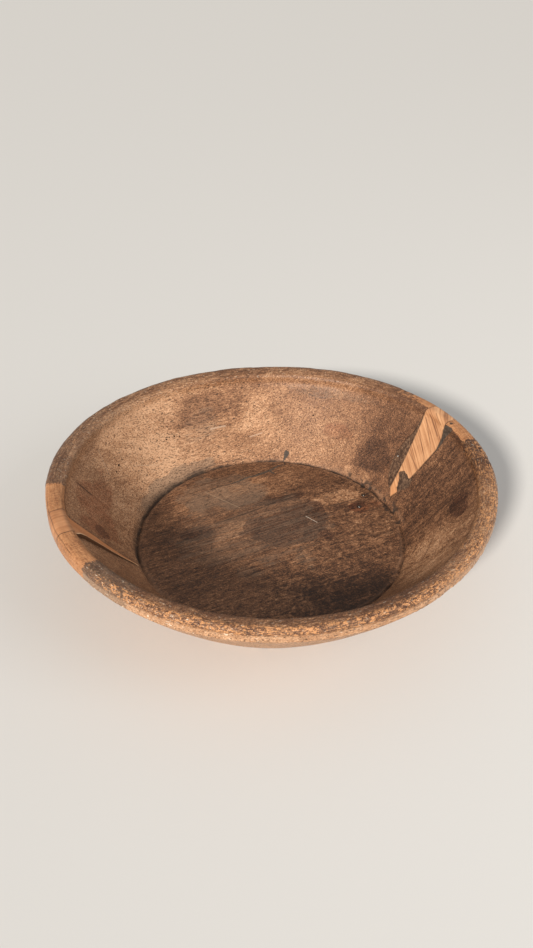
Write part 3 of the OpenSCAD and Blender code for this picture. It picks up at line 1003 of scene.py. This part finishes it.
class Graph:
    """Short names for the shader nodes that the materials use; sizes are millimetres."""

    def __init__(self, name):
        self.material = bpy.data.materials.new(name)
        self.material.use_nodes = True
        self.tree = self.material.node_tree
        self.tree.nodes.clear()
        self.shader = self.node("BsdfPrincipled")
        self.tree.links.new(self.shader.outputs[0], self.node("OutputMaterial").inputs[0])
        self.place = self.node("TexCoord").outputs["Object"]
        self.colour = None

    def node(self, kind, **settings):
        node = self.tree.nodes.new("ShaderNode" + kind)
        for name, value in settings.items():
            setattr(node, name, value)
        return node

    def put(self, socket, value):
        if isinstance(value, bpy.types.NodeSocket):
            self.tree.links.new(value, socket)
        else:
            if socket.type == "RGBA" and len(value) == 3:
                value = (*value, 1)
            socket.default_value = value

    def fill(self, node, out, **values):
        """Sets a node's inputs by name (underscores for spaces) and returns one output."""
        for name, value in values.items():
            self.put(node.inputs[name.replace("_", " ")], value)
        return node.outputs[out]

    def mask(self, name):
        return self.node("Attribute", attribute_name=name).outputs["Fac"]

    def math(self, how, *values, clamp=False):
        node = self.node("Math", operation=how, use_clamp=clamp)
        for socket, value in zip(node.inputs, values):
            self.put(socket, value)
        return node.outputs[0]

    def times(self, a, b):
        return self.math("MULTIPLY", a, b)

    def vector(self, how, a, b=None, out=0):
        node = self.node("VectorMath", operation=how)
        self.put(node.inputs[0], a)
        if b is not None:
            self.put(node.inputs["Scale" if how == "SCALE" else 1], b)
        return node.outputs[out]

    def flat(self, *names):
        """Coordinates from masks."""
        node = self.node("CombineXYZ")
        for socket, name in zip(node.inputs, names):
            self.put(socket, self.mask(name))
        return node.outputs[0]

    def sized(self, place, size, turned):
        """Coordinates in units of size, turned by degrees."""
        return self.fill(
            self.node("Mapping", vector_type="TEXTURE"), 0,
            Rotation=(0, 0, math.radians(turned)), Scale=size, Vector=place)

    def texture(self, place, detail, rough, bend):
        return self.fill(
            self.node("TexNoise"), "Fac",
            Scale=1.0, Detail=detail, Roughness=rough, Distortion=bend, Vector=place)

    def noise(self, size, detail=2.0, rough=0.5, bend=0.0, bearing=GRAIN_BEARING):
        """Noise in the block, its size given along the grain first."""
        size = np.broadcast_to(size, 3) * MM
        return self.texture(self.sized(self.place, size, bearing), detail, rough, bend)

    def local_noise(self, size, detail=2.0, rough=0.5, bend=0.0, turned=0.0, second="across"):
        """Noise on the wall: size up it, then across it or round the bowl."""
        return self.texture(self.sized(self.flat("up", second), (*size, 1), turned), detail, rough, bend)

    def ring_noise(self, size, detail=3.0, rough=0.6, bend=0.0):
        """Noise drawn out round the bowl: size round it, then size along the section."""
        place = self.flat("east", "north", "along")
        return self.texture(self.sized(place, (size[0], *size), 0), detail, rough, bend)

    def between(self, value, low, high, to_low=0.0, to_high=1.0):
        """Value mapped smoothly from low..high to to_low..to_high."""
        node = self.node("MapRange", interpolation_type="SMOOTHSTEP")
        return self.fill(
            node, 0, Value=value, From_Min=low, From_Max=high, To_Min=to_low, To_Max=to_high)

    def add(self, tone, *layers):
        """Tone with noise layers (0..1) added, each as plus or minus half of its amount."""
        for layer, amount in layers:
            tone = self.math("MULTIPLY_ADD", self.math("SUBTRACT", layer, 0.5), amount, tone)
        return tone

    def ramp(self, value, *stops):
        node = self.node("ValToRGB")
        self.put(node.inputs[0], value)
        points = node.color_ramp.elements
        while len(points) < len(stops):
            points.new(0.5)
        for point, (at, *colour) in zip(points, stops):
            point.position = at
            point.color = (*colour, 1)
        return node.outputs[0]

    def mix(self, share, a, b, how="MIX"):
        node = self.node("Mix", data_type="RGBA", blend_type=how)
        for socket, value in zip((node.inputs[0], node.inputs[6], node.inputs[7]), (share, a, b)):
            self.put(socket, value)
        return node.outputs[2]

    def paint(self, tint, share, *others, how="MIX"):
        """Takes the colour to tint where the shares, multiplied together, are 1."""
        for other in others:
            share = self.times(share, other)
        self.colour = self.mix(share, self.colour, tint, how)

    def veins(self, noise, half):
        """Thin curling lines where a noise crosses its middle."""
        off = self.math("ABSOLUTE", self.math("SUBTRACT", noise, 0.5))
        return self.between(off, half * 0.3, half, 1.0, 0.0)

    def line(self, place, start, end, half):
        """1 on a thin mark between two points of the given coordinates."""
        start, end = Vector((*start, 0)), Vector((*end, 0))
        along = end - start
        reach = self.vector("SUBTRACT", place, start)
        dot = self.vector("DOT_PRODUCT", reach, along, 1)
        share = self.math("MULTIPLY", dot, 1 / along.length_squared, clamp=True)
        nearest = self.vector("SCALE", along, share)
        gap = self.vector("LENGTH", self.vector("SUBTRACT", reach, nearest), None, 1)
        return self.between(gap, half * 0.5, half * 1.3, 1.0, 0.0)

    def finish(self, rough, *bumps, specular=0.5, metal=0.0):
        """Sets the shader; each bump is a height, a strength and a depth."""
        normal = None
        for height, strength, depth in bumps:
            node = self.node("Bump")
            if normal is not None:
                self.put(node.inputs["Normal"], normal)
            normal = self.fill(node, 0, Strength=strength, Distance=depth * MM, Height=height)
        if normal is not None:
            self.put(self.shader.inputs["Normal"], normal)
        self.fill(self.shader, 0, Base_Color=self.colour, Roughness=rough, Metallic=metal)
        self.shader.inputs["Specular IOR Level"].default_value = specular
        return self.material


# Thin marks on the floor: ends in plan, half width, colour, strength
FLOOR_MARKS = [
    ((40.3, 38.9), (52.9, 27.7), 0.38, (0.66, 0.56, 0.46), 0.85),
    ((-80.6, 83.1), (-37.0, 52.6), 0.5, (0.40, 0.27, 0.17), 0.55),
    ((-64.8, 20.9), (-11.1, 53.3), 1.3, (0.035, 0.022, 0.015), 0.6),
    ((-11.1, 53.3), (30.0, 86.0), 1.1, (0.035, 0.022, 0.015), 0.5),
    ((-51.6, -8.1), (10.2, 30.9), 0.7, (0.05, 0.03, 0.02), 0.6),
    ((-95.4, -23.6), (-51.6, -8.1), 0.8, (0.30, 0.19, 0.12), 0.4),
    ((-88.0, 103.0), (-62.0, 96.0), 0.6, (0.05, 0.03, 0.02), 0.6),
    ((70.0, 60.0), (99.0, 74.0), 1.0, (0.04, 0.025, 0.017), 0.6),
    ((96.0, 48.0), (127.0, 56.0), 0.9, (0.05, 0.03, 0.02), 0.5),
    ((16.3, 142.0), (15.5, 151.0), 0.9, (0.03, 0.02, 0.014), 0.9),
    ((-74.0, 88.0), (-60.0, 97.0), 0.8, (0.035, 0.022, 0.015), 0.8),
]
# Thin marks on the wall: bearing and height up the wall of each end, then the same
WALL_MARKS = [
    ((162.6, 92.0), (165.9, 66.0), 0.6, (0.50, 0.33, 0.22), 0.55),
    ((153.1, 48.4), (142.9, 32.7), 0.5, (0.52, 0.36, 0.24), 0.5),
    ((181.4, 93.0), (180.8, 71.0), 1.1, (0.06, 0.028, 0.017), 0.8),
    ((176.8, 73.6), (160.8, 49.0), 0.5, (0.10, 0.055, 0.035), 0.5),
    ((114.9, 51.1), (109.0, 51.4), 1.2, (0.58, 0.42, 0.30), 0.5),
    ((99.5, 33.2), (94.4, 37.5), 0.7, (0.60, 0.44, 0.32), 0.5),
    ((134.5, 4.5), (100.4, 5.6), 0.6, (0.06, 0.035, 0.024), 0.55),
    ((347.1, 41.5), (337.4, 34.5), 0.8, (0.06, 0.03, 0.02), 0.6),
    ((355.0, 53.5), (350.2, 51.9), 0.8, (0.07, 0.035, 0.022), 0.5),
    ((6.5, 52.7), (0.2, 50.8), 0.7, (0.08, 0.04, 0.025), 0.5),
    ((84.6, -1.0), (84.2, 8.0), 0.8, (0.03, 0.02, 0.014), 0.9),
    ((352.0, 20.0), (346.0, 12.0), 0.8, (0.06, 0.03, 0.02), 0.5),
    ((20.0, 40.0), (12.0, 20.0), 1.0, (0.06, 0.03, 0.02), 0.4),
]
# Strong dark grain lines on the right wedge: ends up and across the wall, half width
WEDGE_STREAKS = [
    ((111.8, 10.1), (97.8, -15.0), 1.1), ((118.0, 3.9), (109.6, -10.6), 0.6),
    ((64.6, 9.7), (50.9, -26.6), 0.8), ((71.2, 10.4), (60.6, -8.3), 0.5),
    ((90.7, 13.3), (65.3, -21.6), 0.6), ((106.6, 14.9), (79.0, -21.2), 0.7),
]
NEAR_BLACK = (0.02, 0.013, 0.009)


def old_wood():
    """Worn, oiled and stained wood with open pores, a few painted glints on the rim and painted shadows
    at the foot of the back wall and under the left wedge.
    """
    g = Graph("old_wood")
    streak = g.noise((60, 2.2, 2.2), 3, 0.6, 0.3)
    fibre = g.noise((12, 0.9, 0.9), 2, 0.6)
    cloud = g.noise((34, 17, 17), 4, 0.6, 0.4)
    mottle = g.noise((9, 5, 5), 5, 0.75, 0.8)
    speck = g.noise(1.6, 3, 0.75)
    pore = g.between(g.noise((4.6, 1.0, 1.0), 1, 0.5), 0.57, 0.67)
    rim_streak = g.ring_noise((16, 1.5), 4, 0.7, 0.4)
    on_rim, level, curled, gloss_and_painted_glint = (g.mask(name) for name in ("rimmed", "level", "curled", "gloss_and_painted_glint"))
    # Lightness: figure, streaks, clouds, mottle, curls, fine grain, runs down the wall, rim streaks
    calm = g.between(g.mask("outer"), 0.0, 1.0, 1.0, 0.45)
    tone = g.add(
        g.mask("tone"), (g.noise((150, 8, 8), 3, 0.55, 0.6), 0.34),
        (streak, g.between(curled, 0.0, 1.0, 0.42, 0.147)), (cloud, 0.36),
        (mottle, g.between(level, 0.0, 1.0, 0.45, 0.9)),
        (g.noise(13, 5, 0.75, 2.4), g.times(curled, 1.3)),
        (fibre, g.times(calm, 0.75)), (speck, g.times(calm, 1.35)),
        (g.local_noise((55, 4.5), 4, 0.6, 0.5, second="around"), g.times(g.mask("run"), 0.75)),
        (rim_streak, on_rim))
    g.colour = g.ramp(
        tone, (0.0, 0.036, 0.016, 0.0085), (0.22, 0.092, 0.041, 0.0205), (0.42, 0.18, 0.081, 0.039),
        (0.62, 0.315, 0.153, 0.075), (0.82, 0.47, 0.250, 0.131), (1.0, 0.66, 0.387, 0.222))
    # Fine curling lines where the grain is wild
    vein = g.veins(g.noise((26, 15, 15), 5, 0.7, 1.6), 0.016)
    g.paint(NEAR_BLACK, vein, g.math("MAXIMUM", curled, 0.35), 0.7)
    # Stains with uneven edges
    stain = g.add(g.mask("stain"), (cloud, 0.9), (streak, 0.5), (mottle, 0.9))
    g.paint((0.52, 0.50, 0.53), g.between(stain, 0.42, 0.53), how="MULTIPLY")
    red = g.add(g.mask("red"), (cloud, 0.8), (mottle, 0.8))
    g.paint((0.72, 0.56, 0.50), g.between(red, 0.20, 0.80), how="MULTIPLY")
    grey = g.add(g.mask("grey"), (streak, 1.3))
    g.paint((0.19, 0.130, 0.088), g.between(grey, 0.25, 0.85, 0.0, 0.55))
    g.paint(NEAR_BLACK, pore, g.between(on_rim, 0.2, 0.8, 1.0, 0.35), 0.7)
    g.paint((0.36, 0.20, 0.115), g.mask("ridge"), 0.5)
    # Streaks round the rim, chipped orange flecks, dark pits and a few painted glints (painted
    # highlights)
    shade = g.mix(0.68, g.colour, (0.085, 0.036, 0.020))
    g.paint(shade, g.between(rim_streak, 0.42, 0.55, 1.0, 0.0), on_rim)
    chips = g.add(g.ring_noise((8, 1.7), 4, 0.75, 0.6), (g.noise(3.4, 4, 0.8), 1.0))
    g.paint((0.70, 0.33, 0.135), g.between(chips, 0.51, 0.57), g.mask("fleck"), 0.85)
    pits = g.add(rim_streak, (g.noise(2.6, 4, 0.8, 0.8), 0.9))
    g.paint(NEAR_BLACK, g.between(pits, 0.52, 0.62), on_rim, 0.55)
    # Painted glints: small pale painted highlights where the rim is glossy
    painted_glint = g.between(g.ring_noise((4.5, 1.6), 2, 0.6), 0.64, 0.70)
    g.paint((0.86, 0.70, 0.54), painted_glint, gloss_and_painted_glint, 0.8)
    # Sanded wood beside the wedges
    grain = g.add(g.noise((8, 1.6, 1.6), 4, 0.7, 0.3), (cloud, 0.5), (rim_streak, 0.9))
    sanded = g.ramp(
        grain, (0.28, 0.26, 0.105, 0.044), (0.50, 0.46, 0.205, 0.086), (0.74, 0.60, 0.30, 0.14))
    fresh = g.add(g.mask("fresh"), (g.noise(6, 4, 0.7), 2.0), (rim_streak, 1.0))
    g.paint(sanded, g.between(fresh, 0.40, 0.58))
    # Dirt in crevices, seams and torn grain, with painted shade: painted shadows along the foot of the
    # back wall and under the left wedge
    dirt_and_painted_shade = g.mask("dirt_and_painted_shade")
    g.paint((0.026, 0.017, 0.012), g.between(dirt_and_painted_shade, 0.1, 1.0, 0.0, 0.9))
    # Scratches, cracks and marks
    plan, wall = g.flat("east", "north"), g.flat("around", "up")
    for start, end, half, tint, share in FLOOR_MARKS:
        g.paint(tint, g.line(plan, start, end, half), level, share)
    above = g.math("SUBTRACT", 1.0, level)
    for *ends, half, tint, share in WALL_MARKS:
        ends = [(turn(bearing, 90) * AROUND_MM, up) for bearing, up in ends]
        g.paint(tint, g.line(wall, *ends, half), above, share)
    rough = g.add(0.50, (cloud, 0.4), (speck, 0.35))
    rough = g.math("MULTIPLY_ADD", gloss_and_painted_glint, -0.20, rough)
    rough = g.math("MULTIPLY_ADD", dirt_and_painted_shade, 0.25, rough)
    grit = g.times(g.noise(2.0, 4, 0.75), on_rim)
    return g.finish(
        g.math("MAXIMUM", rough, 0.16), (fibre, 0.5, 0.25), (speck, 0.45, 0.30),
        (pore, 0.6, -0.3), (grit, 0.9, 1.1), specular=0.32)


def right_wedge_wood():
    """Pale straight-grained wood, its grain running aslant across the wedge."""
    g = Graph("right_wedge_wood")
    lines = g.local_noise((160, 1.9), 3, 0.6, 0.15, turned=60)
    bands = g.local_noise((200, 7.5), 2, 0.5, 0.2, turned=60)
    cloud = g.noise(22, 3, 0.5)
    fibre = g.local_noise((14, 0.7), 2, 0.6, turned=60)
    g.colour = g.ramp(
        g.add(0.56, (lines, 1.25), (bands, 0.75), (cloud, 0.45)),
        (0.26, 0.20, 0.085, 0.038), (0.40, 0.41, 0.185, 0.082), (0.56, 0.57, 0.285, 0.135),
        (0.78, 0.68, 0.37, 0.185))
    place, broken = g.flat("up", "across"), g.between(lines, 0.35, 0.6, 1.0, 0.45)
    for start, end, half in WEDGE_STREAKS:
        g.paint((0.14, 0.055, 0.026), g.line(place, start, end, half), broken, 0.75)
    g.paint((0.66, 0.28, 0.105), g.mask("tip"), 0.45)
    g.paint((0.22, 0.095, 0.045), g.between(fibre, 0.60, 0.76, 0.0, 0.35))
    g.paint((0.035, 0.022, 0.014), g.mask("dirt_and_painted_shade"), 0.9)
    return g.finish(g.between(cloud, 0.3, 0.7, 0.42, 0.6), (lines, 0.4, 0.25), (fibre, 0.3, 0.2))


def left_wedge_wood():
    """Orange-brown wood, sanded on the rim and darker on the wall, with a painted highlight on the
    slip's arris and painted shade on its lower side.
    """
    g = Graph("left_wedge_wood")
    lines = g.local_noise((80, 2.4), 3, 0.55, 0.3, turned=4)
    cloud = g.noise(18, 3, 0.5)
    fibre = g.local_noise((10, 0.8), 2, 0.6)
    g.colour = g.ramp(
        g.add(0.5, (lines, 0.7), (cloud, 0.5)),
        (0.30, 0.30, 0.118, 0.045), (0.5, 0.45, 0.198, 0.083), (0.7, 0.56, 0.27, 0.125))
    on_wall = g.mask("wall")
    g.paint((0.61, 0.235, 0.087), on_wall, 0.6)
    # The slip's arris gets a painted highlight and its lower side face painted shade
    place, inside = g.flat("up", "across"), (0, 0.9)
    for start, end in zip(LEFT_WEDGE[2:5], LEFT_WEDGE[3:6]):
        painted_arris_highlight = g.line(place, start - inside, end - inside, 1.0)
        g.paint((0.88, 0.56, 0.32), painted_arris_highlight, on_wall, 0.9)
    # Painted shade: the slip's lower side face, found by its normal, is painted dark brown
    normal = g.node("NewGeometry").outputs["True Normal"]
    facing = g.vector("DOT_PRODUCT", normal, wall_axes(LEFT_BEARING)[2], 1)
    g.paint((0.085, 0.036, 0.018), g.between(facing, 0.45, 0.75, 0.0, 0.88))
    g.paint((0.2, 0.08, 0.035), g.between(fibre, 0.60, 0.76, 0.0, 0.3))
    g.paint((0.035, 0.02, 0.012), g.mask("dirt_and_painted_shade"), 0.9)
    return g.finish(g.between(cloud, 0.3, 0.7, 0.40, 0.55), (lines, 0.3, 0.2), (fibre, 0.3, 0.2))


def dark_filler():
    """Matt filler: grey where it fills cracks, brown and scratched beside the right wedge."""
    g = Graph("dark_filler")
    grit = g.noise(1.7, 3, 0.75)
    cloud = g.noise((14, 2.6, 2.6), 4, 0.7, 0.4, 60)
    grey = g.ramp(
        cloud, (0.3, 0.035, 0.027, 0.021), (0.55, 0.075, 0.057, 0.044), (0.75, 0.12, 0.092, 0.068))
    brown = g.ramp(
        cloud, (0.34, 0.034, 0.018, 0.011), (0.5, 0.095, 0.050, 0.029), (0.66, 0.24, 0.140, 0.080))
    g.colour = g.mix(g.mask("warm"), grey, brown)
    g.paint((0.34, 0.26, 0.19), g.between(grit, 0.62, 0.74, 0.0, 0.6))
    g.paint((0.02, 0.015, 0.012), g.between(grit, 0.40, 0.28, 0.0, 0.6))
    return g.finish(g.between(cloud, 0.3, 0.7, 0.4, 0.7), (grit, 0.6, 0.5), specular=0.25)


def pin_metal():
    g = Graph("pin_metal")
    cloud = g.noise(0.8, 3, 0.6)
    g.colour = g.ramp(cloud, (0.35, 0.30, 0.27, 0.23), (0.6, 0.66, 0.64, 0.60))
    return g.finish(g.between(cloud, 0.3, 0.7, 0.25, 0.5), (cloud, 0.3, 0.1), metal=0.9)


def pale_floor():
    g = Graph("pale_floor")
    g.colour = (0.665, 0.655, 0.635)
    return g.finish(0.85, specular=0.0)


# ======== Stage, light and camera ========

def make_floor():
    half = 8000.0
    points = [[-half, -half, 0], [half, -half, 0], [half, half, 0], [-half, half, 0]]
    floor = object_from("stage_floor", mesh_from("stage_floor", points, [np.array([[0, 1, 2, 3]])]))
    floor.data.materials.append(pale_floor())
    floor.location.z = -0.0002


def aim(lamp, travel):
    """Turns a lamp so that its light travels along a vector."""
    lamp.rotation_mode = "QUATERNION"
    lamp.rotation_quaternion = travel.to_track_quat("-Z", "Y")


def make_light():
    key = bpy.data.lights.new("key", "SUN")
    key.energy = 4.0
    key.angle = math.radians(7)
    key.color = (1.0, 0.95, 0.885)
    lamp = object_from("key", key)
    bearing, height = math.radians(67), math.radians(28.5)
    level = math.cos(height)
    travel = Vector((math.cos(bearing) * level, math.sin(bearing) * level, -math.sin(height)))
    aim(lamp, travel)
    soft = bpy.data.lights.new("fill", "AREA")
    soft.energy = 11
    soft.size = 1.2
    panel = object_from("fill", soft)
    panel.location = (1.5, -0.75, 1.15)
    aim(panel, -panel.location)
    world = bpy.data.worlds.new("studio")
    world.use_nodes = True
    sky = world.node_tree.nodes["Background"]
    sky.inputs["Color"].default_value = (1.0, 0.985, 0.965, 1)
    sky.inputs["Strength"].default_value = 0.40
    bpy.context.scene.world = world


def make_camera():
    tilt, roll = math.radians(34.88), math.radians(1.204)
    right = Vector((1, 0, 0))
    up = Vector((0, math.sin(tilt), math.cos(tilt)))
    ahead = Vector((0, math.cos(tilt), -math.sin(tilt)))
    x = math.cos(roll) * right + math.sin(roll) * up
    y = -math.sin(roll) * right + math.cos(roll) * up
    data = bpy.data.cameras.new("camera")
    data.sensor_width = 36
    data.lens = 34.90
    data.clip_end = 50
    camera = object_from("camera", data)
    turned = Matrix((x, y, -ahead)).transposed().to_4x4()
    camera.matrix_world = Matrix.Translation((-0.00656, -0.8112, 0.66624)) @ turned
    bpy.context.scene.camera = camera


PIECES = [
    (carved_body, "bowl_body", old_wood), (right_wedge, "right_wedge", right_wedge_wood),
    (left_wedge, "left_wedge", left_wedge_wood), (seam_filler, "seam_filler", dark_filler),
    (tip_filler, "tip_filler", dark_filler), (rim_filler, "rim_filler", dark_filler),
    (rim_plug, "rim_plug", dark_filler), (wall_crack_filler, "wall_crack_filler", dark_filler),
    (floor_crack_filler, "floor_crack_filler", dark_filler), (pin_heads, "fixing_pins", pin_metal),
]


def build():
    make_camera()
    make_light()
    make_floor()
    bpy.context.scene.view_settings.view_transform = "Standard"
    made = {}
    for make_piece, node, make_material in PIECES:
        slot = make_material.__name__
        if slot not in made:
            made[slot] = make_material()
        piece = make_piece()
        piece.data.materials.clear()
        piece.data.materials.append(made[slot])
        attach(piece, "root")
        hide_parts(node)
    bpy.data.meshes.remove(BLOCK)


build()
